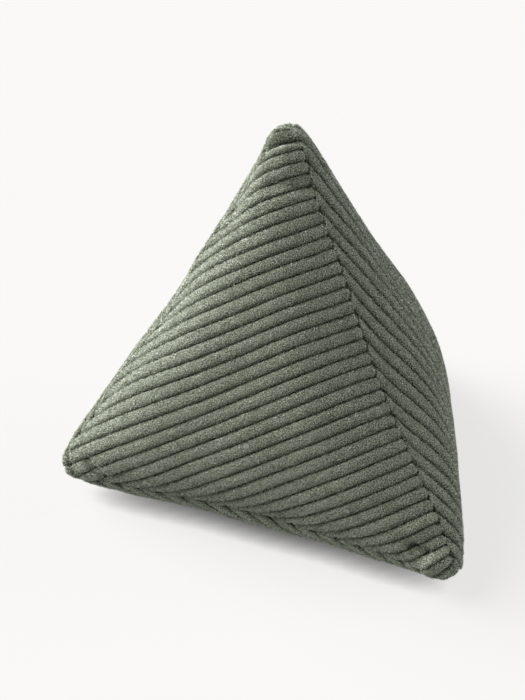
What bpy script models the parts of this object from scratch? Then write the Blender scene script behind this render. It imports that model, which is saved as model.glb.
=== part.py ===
"""Wedge pillow: a firm four-sided floor cushion in wide-wale cord.

Four equal triangles of ribbed cord are sewn edge to edge into a tetrahedron, turned right side
out and stuffed.  The stuffing crowns each panel, draws the six seams in and lifts the three
lower corners off the floor, so the pillow rests on the middle of its underside.

Metres, +Z up.  The pillow rests on z = 0 with the middle of its outline over the origin, and
its front panel faces -Y.
"""
import bmesh
import bpy
from math import sqrt
from mathutils import Matrix, Vector

# The cord and the triangle that each panel is cut to.
EDGE = 0.400                            # sewn length of each side
RIBS = 38                               # ribs across the base of a panel
PITCH = EDGE / RIBS                     # 10.5 mm, a jumbo cord
PANEL_HEIGHT = EDGE * sqrt(3) / 2
RIB_RISE = 0.0022                       # crown of a rib over the groove beside it
RIB_SINK = 0.0045                       # a rib sinks to nothing over this length at a seam

# The shape that the stuffing gives.
SPAN = 0.99 * EDGE                      # straight line between two corners
DEPTH = SPAN * sqrt(2 / 3)              # corner to the middle of the panel across from it
CORNER_LIFT = 0.021                     # lower corners over the floor
CROWN = 0.035                           # middle of a panel over the plane of its corners
CROWN_POWER = 0.55                      # below 1 the crown rises steeply from its seams
SEAM_DRAW = 0.014                       # middle of a seam, drawn towards the centre
TIP_BLUNTING = 0.011                    # length lost where a corner is turned blunt

# Mesh density: lines along the ribs, across them, and beside each seam.
COLUMNS_PER_RIB = 4
ROWS = 10
ROW = 2 * sqrt(3) * PITCH
SEAM_LINES = (sqrt(3) * PITCH / 4, sqrt(3) * PITCH)

# Corners of the stuffed form, with the lower three on a circle.
CIRCLE = SPAN / sqrt(3)
CORNERS = {
    "top": Vector((0, 0, CORNER_LIFT + DEPTH)),
    "left": Vector((-SPAN / 2, -CIRCLE / 2, CORNER_LIFT)),
    "right": Vector((SPAN / 2, -CIRCLE / 2, CORNER_LIFT)),
    "rear": Vector((0, CIRCLE, CORNER_LIFT)),
}
CENTRE = sum(CORNERS.values(), Vector()) / 4

# Each panel's tip, then the two ends of its base.  Its ribs run squarely from the base towards
# the tip side, so they meet the next panel's ribs at an angle along all seams but one.
PANELS = {
    "front": ("left", "top", "right"),
    "back": ("left", "rear", "top"),
    "underside": ("left", "right", "rear"),
    "right_side": ("top", "rear", "right"),
}


def corner_shares(x, y):
    """Shares of tip, base start and base end in a point of the flat panel, base along +X."""
    tip = y / PANEL_HEIGHT
    end = x / EDGE - tip / 2
    return tip, 1 - tip - end, end


def rib_height(x, shares):
    """Height over the bottom of the grooves: round-topped ribs that sink at the seams."""
    from_seam = max(0.0, min(shares)) * PANEL_HEIGHT
    from_groove = abs((x / PITCH + 0.5) % 1.0 - 0.5)
    roundness = 1 - (1 - 2 * from_groove) ** 3
    return RIB_RISE * roundness * min(1.0, from_seam / RIB_SINK)


def stuffed(x, y, names):
    """Place one point of a flat panel on the stuffed pillow."""
    shares = corner_shares(x, y)
    corners = [CORNERS[name] for name in names]
    point = sum((share * corner for share, corner in zip(shares, corners)), Vector())
    outward = (sum(corners, Vector()) / 3 - CENTRE).normalized()

    for i, j in ((0, 1), (1, 2), (2, 0)):
        inward = (CENTRE - (corners[i] + corners[j]) / 2).normalized()
        point += 4 * shares[i] * shares[j] * SEAM_DRAW * inward

    fullness = max(0.0, 27 * shares[0] * shares[1] * shares[2])
    point += outward * (CROWN * fullness ** CROWN_POWER + rib_height(x, shares))

    for share, corner in zip(shares, corners):
        depth = max(0.0, 1 - share) * DEPTH
        blunted = (depth ** 3 + TIP_BLUNTING ** 3) ** (1 / 3)
        point += (blunted - depth) * (CENTRE - corner).normalized()

    point.z = max(point.z, 0.0)
    return point


def cut_panel():
    """A flat triangle of cord, base on the X axis, lined along its ribs and beside its seams."""
    panel = bmesh.new()
    grid = Matrix.Diagonal((EDGE / 2, ROWS * ROW / 2, 1, 1)) @ Matrix.Translation((1, 1, 0))
    bmesh.ops.create_grid(
        panel, x_segments=COLUMNS_PER_RIB * RIBS, y_segments=ROWS, size=1, matrix=grid
    )
    sides = (
        (Vector((0, 0, 0)), Vector((0, -1, 0))),
        (Vector((0, 0, 0)), Vector((-sqrt(3), 1, 0)).normalized()),
        (Vector((EDGE, 0, 0)), Vector((sqrt(3), 1, 0)).normalized()),
    )
    for start, outward in sides:
        for inset in (0,) + SEAM_LINES:
            bmesh.ops.bisect_plane(
                panel, geom=panel.verts[:] + panel.edges[:] + panel.faces[:], dist=1e-6,
                plane_co=start - inset * outward, plane_no=outward, clear_outer=inset == 0,
            )
    return panel


def match_base_stitches(panel):
    """Halve the steps of the two slanted sides, to meet the finer steps of a base."""
    slanted = [
        edge for edge in panel.edges
        if edge.is_boundary and max(vert.co.y for vert in edge.verts) > 1e-6
    ]
    bmesh.ops.subdivide_edges(panel, edges=slanted, cuts=1)


def sew_pillow():
    """Stuff the four panels and join them along their seams into one closed skin."""
    skin = bmesh.new()
    for name, corner_names in PANELS.items():
        panel = cut_panel()
        if corner_names[0] == "top":
            match_base_stitches(panel)
        bmesh.ops.triangulate(panel, faces=panel.faces[:])
        for vert in panel.verts:
            vert.co = stuffed(vert.co.x, vert.co.y, corner_names)
        piece = bpy.data.meshes.new(name)
        panel.to_mesh(piece)
        panel.free()
        skin.from_mesh(piece)
        bpy.data.meshes.remove(piece)
    bmesh.ops.remove_doubles(skin, verts=skin.verts[:], dist=2e-5)
    bmesh.ops.recalc_face_normals(skin, faces=skin.faces[:])
    return skin


def centre_outline(skin):
    """Move the middle of the outline, seen from above, over the origin."""
    for axis in (0, 1):
        places = [vert.co[axis] for vert in skin.verts]
        middle = (min(places) + max(places)) / 2
        for vert in skin.verts:
            vert.co[axis] -= middle


def sage_cord():
    """Cotton cord with a short dull pile, dyed a greyed sage green."""
    material = bpy.data.materials.new("sage_cord")
    material.use_nodes = True
    shader = material.node_tree.nodes["Principled BSDF"]
    shader.inputs["Base Color"].default_value = (0.105, 0.130, 0.090, 1)
    shader.inputs["Roughness"].default_value = 0.95
    shader.inputs["Metallic"].default_value = 0.0
    return material


for leftover in list(bpy.data.objects):
    bpy.data.objects.remove(leftover)

wedge_pillow = bpy.data.collections.new("wedge_pillow")
bpy.context.scene.collection.children.link(wedge_pillow)

skin = sew_pillow()
centre_outline(skin)
pillow_mesh = bpy.data.meshes.new("pillow")
skin.to_mesh(pillow_mesh)
skin.free()
pillow_mesh.materials.append(sage_cord())
wedge_pillow.objects.link(bpy.data.objects.new("pillow", pillow_mesh))
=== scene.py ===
from math import factorial

import bpy
import numpy as np
from mathutils import Matrix, Vector


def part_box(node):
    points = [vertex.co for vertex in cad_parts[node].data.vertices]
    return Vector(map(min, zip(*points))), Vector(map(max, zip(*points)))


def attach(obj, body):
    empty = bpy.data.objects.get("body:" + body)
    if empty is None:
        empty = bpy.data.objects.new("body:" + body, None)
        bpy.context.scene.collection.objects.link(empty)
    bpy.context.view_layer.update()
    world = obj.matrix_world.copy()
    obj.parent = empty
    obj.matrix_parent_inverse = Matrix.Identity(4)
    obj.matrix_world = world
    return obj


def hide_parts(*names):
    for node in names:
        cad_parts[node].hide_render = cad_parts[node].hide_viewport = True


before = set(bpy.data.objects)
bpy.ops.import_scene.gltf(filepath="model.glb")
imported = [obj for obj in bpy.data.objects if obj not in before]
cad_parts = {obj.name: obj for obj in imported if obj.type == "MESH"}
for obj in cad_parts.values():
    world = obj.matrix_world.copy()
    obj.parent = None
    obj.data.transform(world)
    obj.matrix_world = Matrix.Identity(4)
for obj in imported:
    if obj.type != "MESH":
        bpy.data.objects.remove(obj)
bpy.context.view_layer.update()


# Camera
# A long lens on a tripod in front of the cushion's right corner, looking down on it and turned
# a little clockwise, so the rising seam runs down the right of the frame.
AZIMUTH, ELEVATION, ROLL = np.radians((28.2, 29.7, -2.4))
DISTANCE = 1.613
LENS = 95.7
AIM = Vector((-0.0324, -0.0641, 0.1343))

back = Vector((
    np.sin(AZIMUTH) * np.cos(ELEVATION),
    -np.cos(AZIMUTH) * np.cos(ELEVATION),
    np.sin(ELEVATION),
))
camera = bpy.data.objects.new("camera", bpy.data.cameras.new("camera"))
camera.data.lens = LENS
camera.data.sensor_width = 36
camera.matrix_world = (
    Matrix.Translation(AIM + DISTANCE * back)
    @ back.to_track_quat("Z", "Y").to_matrix().to_4x4()
    @ Matrix.Rotation(ROLL, 4, "Z")
)
bpy.context.scene.collection.objects.link(camera)
bpy.context.scene.camera = camera


# Studio
# Matt paper that glows evenly, as if lit from beneath as in cut-out product shots, so that the
# cushion's cast shadow stays faint; the dark line where it meets the paper is painted contact
# shadow, made by ambient occlusion dimming the glow.  A low wide light from the left and behind
# rakes across the ribs, a weaker one stands above it and a faint one is at the right.
def linear(hex_colour):
    """Linear RGBA of an sRGB hex colour."""
    parts = np.array([int(hex_colour[i:i + 2], 16) for i in (1, 3, 5)]) / 255
    return (*np.where(parts <= 0.04045, parts / 12.92, ((parts + 0.055) / 1.055) ** 2.4), 1)


def add_node(tree, kind, settings=None, links=None):
    """Add a node, set its own values or its inputs' values, and link sockets into it."""
    node = tree.nodes.new(kind)
    for name, value in (settings or {}).items():
        if isinstance(name, str) and hasattr(node, name):
            setattr(node, name, value)
        else:
            node.inputs[name].default_value = value
    for name, socket in (links or {}).items():
        tree.links.new(socket, node.inputs[name])
    return node


PAPER_GLOW = 0.750
PAINTED_SHADOW_REACH = 0.019
FLOOR_HALF = 60
FLOOR_GAP = 0.0003
SUNS = (
    ("raking_sun", (-0.914, 0.120, 0.387), 40, 5.8),
    ("upper_sun", (-0.551, -0.330, 0.766), 40, 3.5),
    ("right_sun", (0.795, 0.476, 0.375), 40, 1.7),
)
ROOM = 0.05
ROOM_SEEN = 0.96

# Uncoated white paper that glows as if lit through from below: no gloss, an even near-white, and
# darker only where the cushion closes it in, which is painted contact shadow: ambient occlusion
# dims the glow there.
paper = bpy.data.materials.new("matt_paper")
paper.use_nodes = True
paper_shader = paper.node_tree.nodes["Principled BSDF"]
paper_shader.inputs["Base Color"].default_value = linear("#5e5d5c")
paper_shader.inputs["Roughness"].default_value = 1
paper_shader.inputs["Specular IOR Level"].default_value = 0
paper_shader.inputs["Emission Color"].default_value = linear("#fffefc")
# Painted contact shadow: ambient occlusion dims the paper's glow close to the cushion.
painted_contact_shadow = add_node(
    paper.node_tree, "ShaderNodeAmbientOcclusion", {"samples": 8, "Distance": PAINTED_SHADOW_REACH}
)
glow = add_node(
    paper.node_tree, "ShaderNodeMath", {"operation": "MULTIPLY", 1: PAPER_GLOW},
    {0: painted_contact_shadow.outputs["AO"]},
)
paper.node_tree.links.new(glow.outputs["Value"], paper_shader.inputs["Emission Strength"])
floor_mesh = bpy.data.meshes.new("floor")
floor_corners = [(x * FLOOR_HALF, y * FLOOR_HALF, 0) for x, y in ((-1, -1), (1, -1), (1, 1), (-1, 1))]
floor_mesh.from_pydata(floor_corners, [], [(0, 1, 2, 3)])
floor_mesh.materials.append(paper)
floor = bpy.data.objects.new("floor", floor_mesh)
floor.location.z = -FLOOR_GAP
bpy.context.scene.collection.objects.link(floor)

for name, place, spread, strength in SUNS:
    lamp = bpy.data.lights.new(name, "SUN")
    lamp.angle = np.radians(spread)
    lamp.energy = strength
    sun = bpy.data.objects.new(name, lamp)
    sun.matrix_world = Vector(place).to_track_quat("Z", "Y").to_matrix().to_4x4()
    bpy.context.scene.collection.objects.link(sun)

room = bpy.data.worlds.new("white_room")
room.use_nodes = True
room.node_tree.nodes["Background"].inputs["Color"].default_value = linear("#fffefc")
ray = add_node(room.node_tree, "ShaderNodeLightPath")
seen = add_node(
    room.node_tree, "ShaderNodeMapRange", {"To Min": ROOM, "To Max": ROOM_SEEN},
    {"Value": ray.outputs["Is Camera Ray"]},
)
room.node_tree.links.new(seen.outputs["Result"], room.node_tree.nodes["Background"].inputs["Strength"])
bpy.context.scene.world = room
bpy.context.scene.view_settings.view_transform = "Standard"


# Stuffed bag
# Four flat triangles sewn edge to edge, stood on the underside and filled until they crown.
# Blender's cloth does the filling, on a coarse net with one cell to each rib, and the smooth
# patches that the cord follows are then laid through the net.
EDGE = 0.400
RIBS = 38
PITCH = EDGE / RIBS
PANEL_HEIGHT = EDGE * np.sqrt(3) / 2
CIRCLE = EDGE / np.sqrt(3)
LIFT = 0.012
CORNERS = {
    "top": (0, 0, LIFT + EDGE * np.sqrt(2 / 3)),
    "left": (-EDGE / 2, -CIRCLE / 2, LIFT),
    "right": (EDGE / 2, -CIRCLE / 2, LIFT),
    "rear": (0, CIRCLE, LIFT),
}
PANELS = {
    "front_panel": ("left", "top", "right"),
    "back_panel": ("left", "rear", "top"),
    "underside_panel": ("left", "right", "rear"),
    "right_side_panel": ("top", "rear", "right"),
}
FILLING = {
    "uniform_pressure_force": 6,
    "mass": 0.0003,
    "quality": 10,
    "tension_stiffness": 80,
    "compression_stiffness": 20,
    "shear_stiffness": 20,
    "bending_stiffness": 0.8,
    "tension_damping": 10,
    "compression_damping": 10,
    "shear_damping": 10,
    "bending_damping": 1,
    "air_damping": 3,
    "use_pressure": True,
}
FILLING_FRAMES = 40
FILLING_GRAVITY = 0.3
NET_SKIN = 0.003
SLAB_SKIN = 0.002
SLAB_FRICTION = 8

# How the filled bag differs from an even one: take-up of the cord over its ribs, blunt and
# knobbed corners, and a fuller waist that shrinks towards the top.
TAKE_UP = 0.9877
BLUNTING = {"top": 0.0218, "left": 0.0151, "right": 0.0150, "rear": 0.0110}
PLUMPNESS = 0.0128
BELLY = 0.0347
KNOB = {"top": 0.45, "left": 0.15, "right": 0.55, "rear": 0.20}
KNOB_REACH = 0.022

# The front's lower seam stands off the floor and the underside's edge curls out below it, both
# fading towards the seam's two ends.
LOWER_SEAM_LIFT = 0.0030
LIFT_FADE = 0.03
LOWER_CURL = 0.0060
CURL_REACH = 0.05
CURL_TOP = 0.1
ENDS_FADE = 8

# The apex leans to the left and back, and the waist bows to the front.
FULL_HEIGHT = 0.85 * EDGE
LEAN = np.array((-0.0273, 0.0337))
BOW = np.array((-0.0014, -0.0114))
SETTLE = 0.0020
PATCH_DEGREE = 12

# Where the stuffing is slack or packed: shares of the top, left, right and rear corners, reach,
# and how far the cover moves there.
SHIFTED = (
    (1.00, 0.00, 0.00, 0.00, 0.12, (-0.0035, -0.0019, 0)),
    (0.00, 0.00, 1.00, 0.00, 0.14, (-0.0078, -0.0042, 0)),
    (0.00, 0.00, 0.80, 0.20, 0.22, (-0.0068, -0.0037, 0)),
    (0.72, 0.00, 0.00, 0.28, 0.25, (-0.0077, -0.0044, 0)),
    (0.34, 0.00, 0.34, 0.32, 0.18, (0.0075, 0.0041, 0)),
    (0.72, 0.28, 0.00, 0.00, 0.20, (0.0008, 0.0004, 0)),
)

# The seam from the top to the left corner is pulled round to the back, more so near the left.
SWUNG_SEAM = np.array((-0.0105, 0.0105, 0))
SWUNG_REACH = 0.15


def sewn_net(cells):
    """A panel's crossings in steps from its corners, the corner weights of every crossing of
    the bag, and the numbers of each panel's crossings among them."""
    rows = [(i, j, cells - i - j) for i in range(cells + 1) for j in range(cells + 1 - i)]
    steps = np.array(rows)
    weights = np.zeros((len(PANELS), len(steps), len(CORNERS)), dtype=int)
    for panel, names in enumerate(PANELS.values()):
        weights[panel][:, [list(CORNERS).index(name) for name in names]] = steps
    crossings, numbers = np.unique(weights.reshape(-1, 4), axis=0, return_inverse=True)
    return steps, crossings / cells, numbers.reshape(len(PANELS), -1)


def net_triangles(cells, steps, numbers):
    """The triangles between a panel's crossings, facing out."""
    at = {tuple(step): number for step, number in zip(steps[:, :2].tolist(), numbers.tolist())}
    triangles = []
    for (i, j), corner in at.items():
        if i + j < cells:
            triangles.append((at[i + 1, j], corner, at[i, j + 1]))
        if i + j < cells - 1:
            triangles.append((at[i + 1, j], at[i, j + 1], at[i + 1, j + 1]))
    return triangles


def filled(points, triangles):
    """Points of a closed net once cloth has filled it on a hard floor."""
    things = []
    reach = 2 * EDGE
    slab = [(-reach, -reach, 0), (reach, -reach, 0), (reach, reach, 0), (-reach, reach, 0)]
    for name, verts, faces in (("net", points.tolist(), triangles), ("slab", slab, [(0, 1, 2, 3)])):
        mesh = bpy.data.meshes.new(name)
        mesh.from_pydata(verts, [], faces)
        things.append(bpy.data.objects.new(name, mesh))
        bpy.context.scene.collection.objects.link(things[-1])
    net, slab = things
    slab.modifiers.new("hard", "COLLISION")
    slab.collision.thickness_outer = SLAB_SKIN
    slab.collision.cloth_friction = SLAB_FRICTION
    cloth = net.modifiers.new("filling", "CLOTH")
    for name, value in FILLING.items():
        setattr(cloth.settings, name, value)
    cloth.settings.effector_weights.gravity = FILLING_GRAVITY
    cloth.collision_settings.distance_min = NET_SKIN
    cloth.collision_settings.use_self_collision = False
    cloth.point_cache.frame_end = FILLING_FRAMES
    for frame_number in range(1, FILLING_FRAMES + 1):
        bpy.context.scene.frame_set(frame_number)
    settled = net.evaluated_get(bpy.context.evaluated_depsgraph_get())
    points = np.array([vertex.co for vertex in settled.data.vertices])
    for thing in things:
        bpy.data.objects.remove(thing)
    bpy.context.scene.frame_set(1)
    return points


def set_down(points, weights):
    """Round the corners over what is turned in at them, and let the cushion lean as it stands.

    The lean, the bow and the slack places follow the photograph, not the filling."""
    corners = points[weights.argmax(axis=0)]
    middle = corners.mean(axis=0)
    rounded = points.copy()
    for name, corner in zip(CORNERS, corners):
        gap = np.linalg.norm(points - corner, axis=1)
        inward = (middle - corner) / np.linalg.norm(middle - corner)
        push = (gap ** 3 + BLUNTING[name] ** 3) ** (1 / 3) - gap
        sideways = points - corner - ((points - corner) @ inward)[:, None] * inward
        swell = KNOB[name] * np.exp(-(gap / KNOB_REACH) ** 2)
        rounded += push[:, None] * inward + swell[:, None] * sideways
    top, left, right, rear = weights.T
    along = np.minimum(1, ENDS_FADE * left * right)
    rounded[:, 2] += LOWER_SEAM_LIFT * along * np.exp(-(top + rear) / LIFT_FADE)
    curl = (rear / CURL_REACH) * np.exp(1 - rear / CURL_REACH) * (1 - top / CURL_TOP).clip(0, 1)
    rounded[:, 1] -= LOWER_CURL * along * curl
    rounded = rounded * TAKE_UP
    height = (rounded[:, 2] / FULL_HEIGHT).clip(0, 1)[:, None]
    belly = 4 * height * (1 - height)
    spread = belly * (PLUMPNESS + BELLY * (1 - 2 * height))
    rounded[:, :2] = rounded[:, :2] * (1 + spread) + LEAN * height + BOW * belly
    for *shares, reach, shift in SHIFTED:
        gap = np.linalg.norm(weights - shares, axis=1)
        rounded += np.exp(-(gap / reach) ** 2)[:, None] * np.array(shift)
    swing = (0.5 + left) * (4 * top * left) ** 1.5 * np.exp(-((right + rear) / SWUNG_REACH) ** 2)
    rounded += swing[:, None] * SWUNG_SEAM
    return rounded


def blends(shares, steps):
    """How much each patch handle counts at points of a panel: Bernstein's polynomials."""
    powers = [shares ** n for n in range(PATCH_DEGREE + 1)]
    parts = [factorial(n) for n in range(PATCH_DEGREE + 1)]
    columns = [
        parts[-1] // (parts[i] * parts[j] * parts[k])
        * powers[i][..., 0] * powers[j][..., 1] * powers[k][..., 2]
        for i, j, k in steps.tolist()
    ]
    return np.stack(columns, axis=-1)


net_steps, net_weights, net_numbers = sewn_net(RIBS)
triangles = [t for numbers in net_numbers for t in net_triangles(RIBS, net_steps, numbers)]
net_points = filled(net_weights @ np.array(list(CORNERS.values())), triangles)
net_points = set_down(net_points, net_weights)

patch_steps, patch_weights, patch_numbers = sewn_net(PATCH_DEGREE)
counts = np.zeros((len(PANELS), len(net_steps), len(patch_weights)))
for panel, numbers in enumerate(patch_numbers):
    counts[panel][:, numbers] = blends(net_steps / RIBS, patch_steps)
targets = net_points[net_numbers.ravel()]
handles = np.linalg.lstsq(counts.reshape(-1, len(patch_weights)), targets, rcond=None)[0]

low, high = (np.array(corner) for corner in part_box("pillow"))
shift = (low + high) / 2 - (net_points.min(axis=0) + net_points.max(axis=0)) / 2
handles[:, :2] += shift[:2]
handles[:, 2] -= SETTLE
CENTRE = (low + high) / 2


# Cord panels
# Jumbo cord, a fine sheet of rounded ribs to each panel, which rolls into its seams and goes on
# inside as a seam allowance.
RIB_RISE = 0.0037
RIB_FLATNESS = 2.7
RIB_SHOULDER = 0.5
RIB_END = 0.0018
RIB_END_ROUNDING = 0.0016
OVERHANG = 0.0012
OVERHANG_REACH = 0.0015
OVERHANG_START = 0.0004
ALLOWANCE = 0.004
COLUMNS_PER_RIB = 10
ROWS = 90
TUFTS = {
    "front_panel": 190000,
    "back_panel": 150000,
    "underside_panel": 90000,
    "right_side_panel": 170000,
}
TUFT_WIDTH = 0.0007
TUFT_LENGTH = 0.0012
TUFT_SPREAD = 0.45
TUFT_LEAN = 0.4
TUFT_LENGTHS = (0.6, 1.2)
TUFT_ROOT = 0.0003
TUFTED_CROWN = 0.45
SEAM_ROWS = np.array((0, 0.2, 0.5, 0.9, 1.4, 2.1, 3.0, 4.4)) / 1000
NUDGE = 0.0003

# Unevenness of the cord: ribs wander and lump away from the seams, each is fatter and thinner
# along its length, and the nap is rough.
LOOSE_WIDTH = 0.012
WANDER = 0.0006
WANDER_CELL = (0.02, 0.07)
FATNESS = 0.10
FATNESS_LENGTH = 0.045
NAP = 0.0002
NAP_CELL = (0.0024, 0.0034)
LUMP = 0.0010
LUMP_CELL = 0.055
CLUMP_CELL = 0.0010

# Painted shade, as a lightness rising from the grooves' 0: the crests, and how far the tuft tips lie
# over them, the tips painted paler than their roots.
PALE_POWER = 0.6
CREST_PALENESS = 0.50
TIP_PALENESS = 0.50
TIP_VARIATION = 0.50

# Folds and hollows of this cushion, by panel: two ends of a line on the flat panel, half width
# and depth.  A negative depth is a puff.
FOLDS = (
    ("front_panel", 0.010, 0.004, 0.010, 0.014, 0.0060, -0.0030),
    ("front_panel", 0.021, 0.000, 0.021, 0.030, 0.0034, 0.0060),
    ("front_panel", 0.055, 0.032, 0.064, 0.004, 0.0060, 0.0036),
    ("front_panel", 0.203, 0.297, 0.224, 0.287, 0.0034, 0.0060),
    ("front_panel", 0.186, 0.322, 0.214, 0.326, 0.0028, 0.0055),
    ("front_panel", 0.355, 0.028, 0.367, 0.017, 0.0040, 0.0065),
    ("front_panel", 0.379, 0.006, 0.379, 0.020, 0.0060, -0.0034),
    ("front_panel", 0.344, 0.008, 0.344, 0.022, 0.0060, -0.0022),
)


def corner_shares(x, y):
    """Shares of tip, base start and base end in points of the flat panel, base along +X."""
    tip = y / PANEL_HEIGHT
    end = x / EDGE - tip / 2
    return np.stack((tip, 1 - tip - end, end), axis=-1)


def soft_noise(u, v, cell_u, cell_v, seed):
    """Smooth noise from -1 to 1 with one random value to each cell."""
    table = np.random.default_rng(seed).uniform(-1, 1, (97, 97))
    u, v = u / cell_u, v / cell_v
    iu, iv = np.floor(u).astype(int), np.floor(v).astype(int)
    fu, fv = u - iu, v - iv
    fu, fv = fu * fu * (3 - 2 * fu), fv * fv * (3 - 2 * fv)
    low = table[iu % 97, iv % 97] * (1 - fu) + table[(iu + 1) % 97, iv % 97] * fu
    high = table[iu % 97, (iv + 1) % 97] * (1 - fu) + table[(iu + 1) % 97, (iv + 1) % 97] * fu
    return low * (1 - fv) + high * fv


def rib_grid():
    """Flat places of a panel's grid points.  Columns crowd into the grooves, rows to the seams."""
    steps = np.arange(RIBS * COLUMNS_PER_RIB + 1) / COLUMNS_PER_RIB
    rib_number = np.minimum(np.floor(steps), RIBS - 1)
    x = (rib_number + 0.5 + 0.5 * np.sin((steps - rib_number - 0.5) * np.pi)) * PITCH
    top = np.sqrt(3) * np.minimum(x, EDGE - x)[:, None]
    near = SEAM_ROWS * np.minimum(1, top / (5 * SEAM_ROWS[-1]))
    between = np.linspace(0, 1, ROWS)[None, 1:-1]
    middle = near[:, -1:] + between * (top - 3 * near[:, -1:])
    y = np.concatenate((near, middle, top - 2 * near[:, ::-1]), axis=1)
    return np.repeat(x[:, None], y.shape[1], axis=1), y


def fold_depth(name, x, y):
    """Depth of a panel's folds and hollows."""
    depth = 0
    for panel_name, x0, y0, x1, y1, half_width, fold in FOLDS:
        if panel_name == name:
            run = np.array((x1 - x0, y1 - y0))
            along = (((x - x0) * run[0] + (y - y0) * run[1]) / (run @ run)).clip(0, 1)
            gap = np.hypot(x - x0 - along * run[0], y - y0 - along * run[1])
            depth = depth + fold * np.exp(-(gap / half_width) ** 2)
    return depth


def rib_crown(x):
    """Height of the rib section, 0 in a groove and 1 on the crest."""
    across = x / PITCH - np.floor(x / PITCH) - 0.5
    return (1 - np.abs(2 * across).clip(0, 1) ** RIB_FLATNESS) ** RIB_SHOULDER


def cord_relief(name, x, y, seed):
    """Height of the cord above the stuffed bag."""
    across = x / PITCH - np.floor(x / PITCH) - 0.5
    from_seam = corner_shares(x, y).min(axis=-1).clip(0) * PANEL_HEIGHT
    reach = (from_seam - RIB_END_ROUNDING * (2 * across) ** 2) / RIB_END
    end = np.sqrt(1 - (1 - reach.clip(0, 1)) ** 2)
    fatness = 1 + FATNESS * soft_noise(np.floor(x / PITCH), y, 1, FATNESS_LENGTH, seed + 1)
    nap = NAP * soft_noise(x, y, *NAP_CELL, seed + 2)
    lump = LUMP * soft_noise(x, y, LUMP_CELL, LUMP_CELL, seed + 3)
    lump = lump * np.clip(from_seam / LOOSE_WIDTH, 0, 1)
    return end * (rib_crown(x) * (RIB_RISE * fatness + nap) - fold_depth(name, x, y)) + lump


def cord_surface(name, panel, x, y, seed):
    """Points of the cord's surface over flat places of a panel, and its directions along X, Y."""
    free = np.clip(corner_shares(x, y).min(axis=-1) * PANEL_HEIGHT / LOOSE_WIDTH, 0, 1)
    wander = WANDER * soft_noise(x, y, *WANDER_CELL, seed) * free
    own_handles = handles[patch_numbers[panel]]
    places = ((x, y), (x + NUDGE, y), (x, y + NUDGE))
    base, aside, above = (
        blends(corner_shares(px + wander, py), patch_steps) @ own_handles for px, py in places
    )
    normal = np.cross(above - base, aside - base)
    normal /= np.linalg.norm(normal, axis=-1, keepdims=True)
    down = (base - above) / np.linalg.norm(base - above, axis=-1, keepdims=True)
    near_base = OVERHANG * np.exp(-y / OVERHANG_REACH) * (y / OVERHANG_START).clip(0, 1)
    near_base = near_base * rib_crown(x)
    relief = [cord_relief(name, px, py, seed)[..., None] * normal for px, py in places]
    point = base + relief[0] + near_base[..., None] * down
    return point, aside - base + relief[1] - relief[0], above - base + relief[2] - relief[0]


def add_piece(name, points, faces, flat, seed, tip):
    """A smooth piece of cord with its flat places as UVs, in metres, and with painted shade as a
    lightness, from the grooves' dark 0 to the tuft tips' pale 1."""
    mesh = bpy.data.meshes.new(name)
    mesh.from_pydata(points.reshape(-1, 3).tolist(), [], faces.tolist())
    corner_vert = np.empty(len(mesh.loops), dtype=int)
    mesh.loops.foreach_get("vertex_index", corner_vert)
    flat = flat.reshape(-1, 2)
    layer = mesh.uv_layers.new(name="cord_metres")
    layer.data.foreach_set("uv", (flat + (0, 0.5 * seed))[corner_vert].ravel())
    # Painted shade: darker into the grooves by the rib's crown, and paler at the tuft tips.
    crown = rib_crown(flat[:, 0])
    clump = soft_noise(flat[:, 0], flat[:, 1], CLUMP_CELL, CLUMP_CELL, seed + 5)
    level = CREST_PALENESS + tip * (TIP_PALENESS + TIP_VARIATION * clump)
    tone_and_painted_shade = mesh.attributes.new("tone_and_painted_shade", "FLOAT", "POINT")
    tone_and_painted_shade.data.foreach_set("value", crown ** PALE_POWER * level)
    mesh.shade_smooth()
    mesh.materials.append(cord)
    piece = bpy.data.objects.new(name, mesh)
    bpy.context.scene.collection.objects.link(piece)
    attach(piece, "root")
    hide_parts("pillow")
    return piece


def make_panel(name, panel, seed):
    """One panel's sheet of ribs, with its seam allowances turned in."""
    x, y = rib_grid()
    points = cord_surface(name, panel, x, y, seed)[0]
    points[..., 2] = np.maximum(points[..., 2], 0)
    for part in (0.5, 1.0):
        turned = [
            seam + part * ALLOWANCE * (CENTRE - seam) / np.linalg.norm(CENTRE - seam, axis=1)[:, None]
            for seam in (points[:, 0], points[:, -1])
        ]
        points = np.concatenate((turned[0][:, None], points, turned[1][:, None]), axis=1)
    flat = np.pad(np.stack((x, y), axis=-1), ((0, 0), (2, 2), (0, 0)), mode="edge")
    number = np.arange(flat[..., 0].size).reshape(flat.shape[:2])
    quads = (number[:-1, :-1], number[:-1, 1:], number[1:, 1:], number[1:, :-1])
    return add_piece(name, points, np.stack(quads, axis=-1).reshape(-1, 4), flat, seed, 0)


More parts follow.
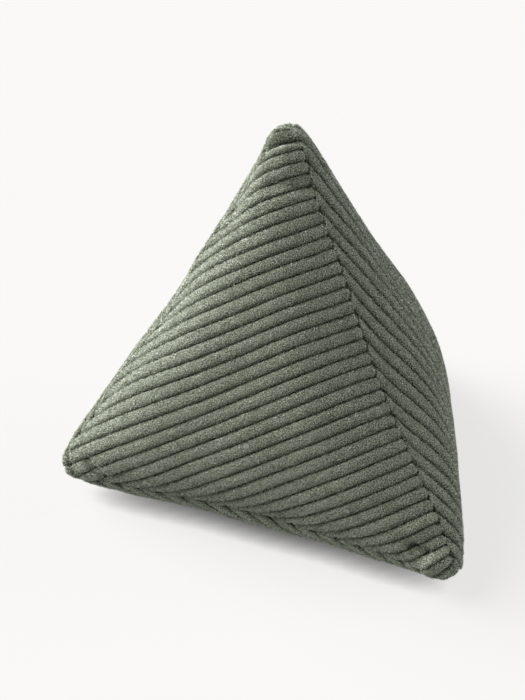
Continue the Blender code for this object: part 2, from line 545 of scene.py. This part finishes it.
def make_pile(name, panel, seed, tufts):
    """The pile's tufts on one panel, a narrow blade each, standing out of the ribs at random."""
    random = np.random.default_rng(seed)
    shares = random.dirichlet((1, 1, 1), tufts)
    x, y = (shares[:, 2] + shares[:, 0] / 2) * EDGE, shares[:, 0] * PANEL_HEIGHT
    kept = rib_crown(x) > TUFTED_CROWN
    x, y = x[kept], y[kept]
    point, aside, above = cord_surface(name, panel, x, y, seed)
    normal = np.cross(above, aside)
    normal /= np.linalg.norm(normal, axis=1, keepdims=True)
    lie = random.normal(size=(2, len(x), 3))
    lie -= (lie * normal).sum(axis=-1, keepdims=True) * normal
    half_width = 0.5 * TUFT_WIDTH * lie[0] / np.linalg.norm(lie[0], axis=1, keepdims=True)
    length = TUFT_LENGTH * random.uniform(*TUFT_LENGTHS, (len(x), 1))
    root = point - TUFT_ROOT * normal
    tip = root + length * normal + TUFT_LEAN * TUFT_LENGTH * lie[1]
    points = np.stack((root - half_width, root + half_width, tip), axis=1)
    points[..., 2] = np.maximum(points[..., 2], 0)
    flat = np.repeat(np.stack((x, y), axis=-1)[:, None], 3, axis=1)
    faces = np.arange(3 * len(x)).reshape(-1, 3)
    # Painted light on the tufts: their tips are paler than their roots.
    tip = np.tile((0, 0, 1), len(x))
    piece = add_piece(name.replace("panel", "pile"), points, faces, flat, seed, tip)
    shading = normal + TUFT_SPREAD * lie[1]
    shading /= np.linalg.norm(shading, axis=1, keepdims=True)
    piece.data.normals_split_custom_set_from_vertices(np.repeat(shading, 3, axis=0).tolist())
    return piece


# Cotton corduroy, woven, cut and brushed, then dyed a greyed sage green: no shine, a soft pale
# edge where the pile is seen side on, the ground weave's brown in the grooves darkened to near
# black by painted shade, crests and tuft tips painted paler, and a speckle of single tufts.  The
# speckle's grains are 0.87 mm, coarser than real tufts, so that they show.
GRAINS_PER_METRE = 1150
SPECKLE = 0.55

cord = bpy.data.materials.new("jumbo_cord")
cord.use_nodes = True
tree = cord.node_tree
shader = tree.nodes["Principled BSDF"]
metres = add_node(tree, "ShaderNodeUVMap", {"uv_map": "cord_metres"})
tone_and_painted_shade = add_node(tree, "ShaderNodeAttribute", {"attribute_name": "tone_and_painted_shade"})
tufts = add_node(
    tree, "ShaderNodeTexNoise", {"Scale": GRAINS_PER_METRE, "Detail": 3, "Roughness": 0.65},
    {"Vector": metres.outputs["UV"]},
)
uneven = add_node(
    tree, "ShaderNodeMapRange",
    {"From Min": 0.3, "From Max": 0.7, "To Min": -SPECKLE, "To Max": SPECKLE},
    {"Value": tufts.outputs["Fac"]},
)
shade = add_node(
    tree, "ShaderNodeMath", {"operation": "ADD"},
    {0: tone_and_painted_shade.outputs["Fac"], 1: uneven.outputs["Result"]},
)
# Painted shade: the ramp darkens the grooves to near black and lightens the crests and tuft tips.
tones = add_node(tree, "ShaderNodeValToRGB", links={"Fac": shade.outputs["Value"]})
for position, colour in ((0.35, "#596150"), (0.65, "#a5ae97"), (1.0, "#dae1cd")):
    tones.color_ramp.elements.new(position).color = linear(colour)
# The ramp's dark end is painted shade at the bottom of the grooves, over the ground weave's brown.
tones.color_ramp.elements[0].position = 0.08
tones.color_ramp.elements[0].color = linear("#1e170c")
tree.links.new(tones.outputs["Color"], shader.inputs["Base Color"])
bump = add_node(
    tree, "ShaderNodeBump", {"Strength": 1.0, "Distance": 0.0020},
    {"Height": tufts.outputs["Fac"]},
)
tree.links.new(bump.outputs["Normal"], shader.inputs["Normal"])
shader.inputs["Roughness"].default_value = 0.95
shader.inputs["Specular IOR Level"].default_value = 0.2
shader.inputs["Sheen Weight"].default_value = 0.25
shader.inputs["Sheen Roughness"].default_value = 0.4
shader.inputs["Sheen Tint"].default_value = linear("#c9cfbd")

for panel, name in enumerate(PANELS):
    make_panel(name, panel, 10 * panel + 10)
    make_pile(name, panel, 10 * panel + 10, TUFTS[name])
